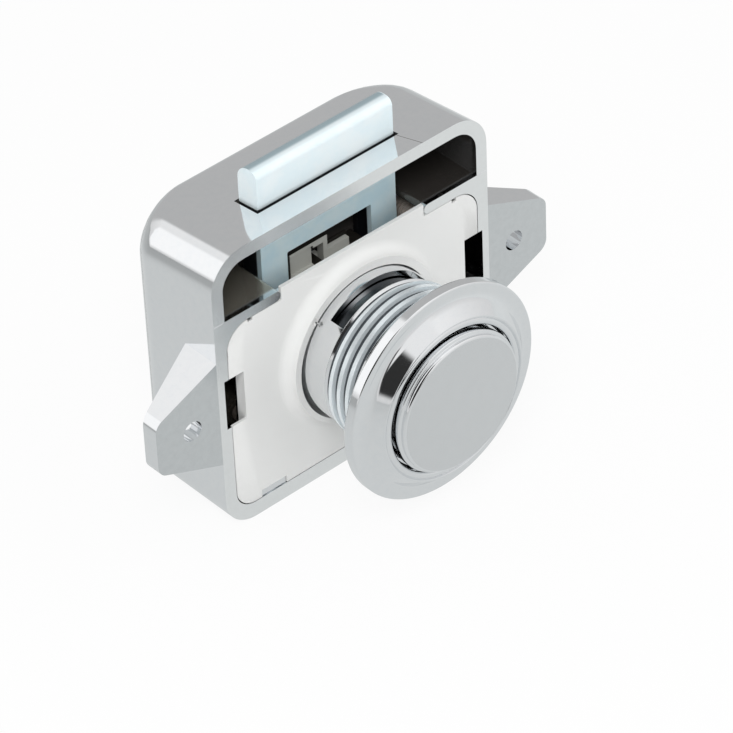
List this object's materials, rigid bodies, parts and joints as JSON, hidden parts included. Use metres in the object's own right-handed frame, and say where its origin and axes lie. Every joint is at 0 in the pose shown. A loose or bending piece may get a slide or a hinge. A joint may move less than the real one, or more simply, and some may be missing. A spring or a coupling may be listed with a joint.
{
  "type": "pushbutton latch",
  "caption": "Chromed cabinet push latch with two screw ears: a round knob on a threaded neck drives a spring bolt that stands out of the top of the case.",
  "frame": {"origin": "midway between the two screw holes, on the knob's axis, in the case's front plane", "axes": "+X to the right seen from the knob's side, -Y along the knob's axis towards the user, +Z the way the bolt comes out"},
  "size_m": [0.0736, 0.0417, 0.0536],
  "materials": {
    "cast_chrome": "polished",
    "zinc_sheet": "bright zinc plated",
    "white_plastic": "moulded, satin",
    "black_plastic": "moulded, dull",
    "steel": "bright"
  },
  "bodies": {
    "case": {"housing": "cast_chrome", "front_plate": "white_plastic", "neck": "cast_chrome", "foot_screws": "steel", "rose": "cast_chrome", "guide_block": "white_plastic", "rear_guide": "black_plastic", "guide_screws": "steel", "follower_leaf": "steel", "knob_spring": "steel", "bolt_spring_left": "steel", "bolt_spring_right": "steel"},
    "button": {"knob": "cast_chrome", "plunger": "white_plastic", "knob_screw": "steel"},
    "slider": {"bolt": "zinc_sheet", "drive_pin": "steel", "pin_clip": "steel"},
    "catch": {"follower": "steel"}
  },
  "joints": [
    {"name": "button_slide", "type": "slide", "parent": "case", "child": "button", "axis": [0, -1, 0], "range_m": [0, 0.009], "deforming": ["knob_spring"]},
    {"name": "bolt_slide", "type": "slide", "parent": "case", "child": "slider", "axis": [0, 0, -1], "range_m": [0, 0.006], "deforming": ["bolt_spring_left", "bolt_spring_right"]},
    {"name": "follower_swing", "type": "hinge", "parent": "case", "child": "catch", "pos_m": [0, 0.0165, -0.00595], "axis": [0, 0, -1], "range_deg": [0, 9.95]}
  ],
  "couplings": [
    {"joint": "bolt_slide", "follows": "button_slide", "ratio": 0.66666},
    {"joint": "follower_swing", "follows": "button_slide", "rad_per_m": 19.27}
  ]
}
